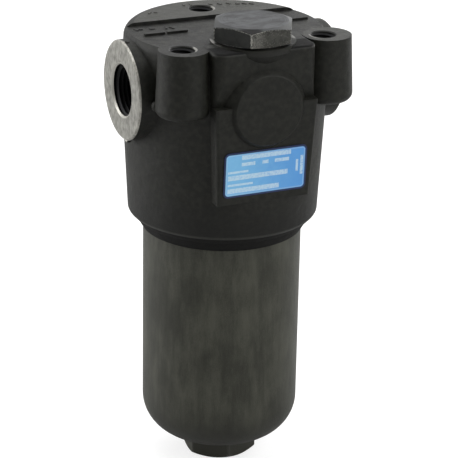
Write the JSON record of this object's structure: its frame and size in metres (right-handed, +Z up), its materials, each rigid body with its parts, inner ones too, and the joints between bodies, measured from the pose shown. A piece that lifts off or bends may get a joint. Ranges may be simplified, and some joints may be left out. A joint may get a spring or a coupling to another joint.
{
  "type": "hydraulic pressure filter",
  "caption": "In-line hydraulic pressure filter: black cast head with side ports, screwed steel bowl with hexagon foot, pleated element with bypass valve, and a plugged indicator port.",
  "frame": {"origin": "centre of the circle through the three mounting holes, on the mounting face at the top of the head", "axes": "+Z up out of the mounting face, +X towards the outlet port, -Y towards the front pad with the label"},
  "size_m": [0.0898, 0.0859, 0.1981],
  "materials": {
    "head_casting": "black phosphate on a fine sand-cast skin, machined port and boss faces bare",
    "bowl_steel": "dark phosphate with drawing streaks along the axis",
    "plug_steel": "dark plated, turned top, worn corners",
    "seal_rubber": "matt",
    "label_film": "printed film",
    "backup_ring": "plain",
    "cap_steel": "zinc plated",
    "core_steel": "zinc plated, perforated",
    "pleat_mesh": "fine woven wire",
    "filter_medium": "glass fibre mat",
    "bond_resin": "cast resin",
    "valve_steel": "turned",
    "spring_steel": "drawn wire"
  },
  "bodies": {
    "head": {"filter_head": "head_casting", "label_plate": "label_film", "element_top_cap": "cap_steel", "element_spigot_o_ring": "seal_rubber", "element_core_tube": "core_steel", "element_inner_mesh": "pleat_mesh", "element_media": "filter_medium", "element_outer_mesh": "pleat_mesh", "element_top_bond": "bond_resin", "element_bottom_bond": "bond_resin", "element_bottom_cap": "cap_steel", "bypass_spring": "spring_steel", "bypass_bridge": "valve_steel"},
    "bowl_seals": {"bowl_o_ring": "seal_rubber", "bowl_backup_ring": "backup_ring"},
    "bowl": {"bowl": "bowl_steel"},
    "plug_seals": {"plug_seal_washer": "seal_rubber", "plug_spigot_o_ring": "seal_rubber", "plug_spigot_backup_ring": "backup_ring"},
    "plug": {"indicator_plug": "plug_steel"},
    "poppet": {"bypass_poppet": "valve_steel"}
  },
  "joints": [
    {"name": "bowl_drop", "type": "slide", "parent": "head", "child": "bowl_seals", "axis": [0, 0, -1], "range_m": [0, 0.018]},
    {"name": "bowl_turn", "type": "hinge", "parent": "bowl_seals", "child": "bowl", "pos_m": [0, 0.0102, -0.07], "axis": [0, 0, -1], "range_deg": [0, 3240]},
    {"name": "plug_lift", "type": "slide", "parent": "head", "child": "plug_seals", "axis": [0, 0, 1], "range_m": [0, 0.0127]},
    {"name": "plug_turn", "type": "hinge", "parent": "plug_seals", "child": "plug", "pos_m": [0, -0.01665, 0], "axis": [0, 0, 1], "range_deg": [0, 2520]},
    {"name": "bypass_lift", "type": "slide", "parent": "head", "child": "poppet", "axis": [0, 0, 1], "range_m": [0, 0.003], "stiffness_N_per_m": 4000, "deforming": ["bypass_spring"]}
  ],
  "couplings": [
    {"joint": "bowl_drop", "follows": "bowl_turn", "m_per_rad": 0.00031831},
    {"joint": "plug_lift", "follows": "plug_turn", "m_per_rad": 0.00028871}
  ]
}
